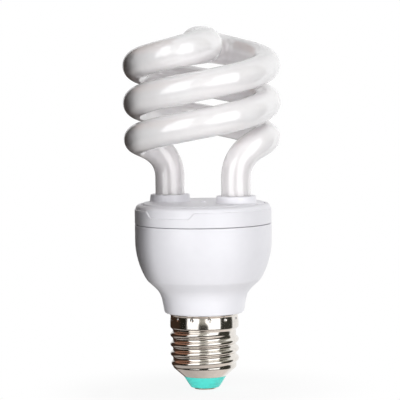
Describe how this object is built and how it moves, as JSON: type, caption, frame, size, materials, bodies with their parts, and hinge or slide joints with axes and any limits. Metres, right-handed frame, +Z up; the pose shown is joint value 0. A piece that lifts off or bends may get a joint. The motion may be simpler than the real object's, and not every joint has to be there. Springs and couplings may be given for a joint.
{
  "type": "spiral compact fluorescent lamp",
  "caption": "Energy-saving lamp: double-helix milky glass tube on a white cup-shaped ballast housing with a nickel Edison screw cap and a turquoise insulator.",
  "frame": {"origin": "on the lamp's axis, at the underside of the centre contact", "axes": "+Z up along the lamp's axis from the screw cap to the glass, -Y towards the viewer of the picture"},
  "size_m": [0.06, 0.06, 0.1386],
  "materials": {
    "milky_glass": "milky white coat under clear gloss glass",
    "white_plastic": "white moulded plastic, satin gloss",
    "nickel": "bright nickel plate on thin sheet",
    "turquoise_plastic": "turquoise moulded plastic",
    "brass": "plain metal rivet",
    "cement": "dull white cement",
    "board": "tan board",
    "solder": "dull grey solder",
    "tinned_steel": "tinned wire",
    "black_plastic": "black moulding",
    "resistor_coat": "pale blue lacquer",
    "blue_glass": "blue lacquered glass",
    "can_sleeve": "dark shrunk sleeve",
    "film_dip": "reddish dipped coat",
    "disc_dip": "blue dipped coat",
    "ferrite": "dark grey ferrite",
    "copper": "enamelled copper wire",
    "tape": "yellow wound tape",
    "red_wire": "red insulation",
    "black_wire": "black insulation"
  },
  "bodies": {
    "root": {"glass_tube": "milky_glass", "top_cover": "white_plastic", "base_housing": "white_plastic", "screw_shell": "nickel", "cap_insulator": "turquoise_plastic", "centre_contact": "brass", "leg_cement": "cement", "circuit_board": "board", "solder_joints": "solder", "wrap_pins": "tinned_steel", "tube_leads": "tinned_steel", "rectifier_diodes": "black_plastic", "resistors": "resistor_coat", "trigger_diode": "blue_glass", "bulk_capacitor": "can_sleeve", "resonant_capacitor": "film_dip", "coupling_capacitor": "film_dip", "start_capacitor": "disc_dip", "thermistor": "black_plastic", "switch_transistors": "black_plastic", "toroid_core": "ferrite", "toroid_winding": "copper", "choke_core": "ferrite", "choke_bobbin": "black_plastic", "choke_winding": "tape", "filter_core": "ferrite", "filter_winding": "copper", "fuse_resistor": "resistor_coat", "live_wire": "red_wire", "neutral_wire": "black_wire"}
  },
  "joints": []
}
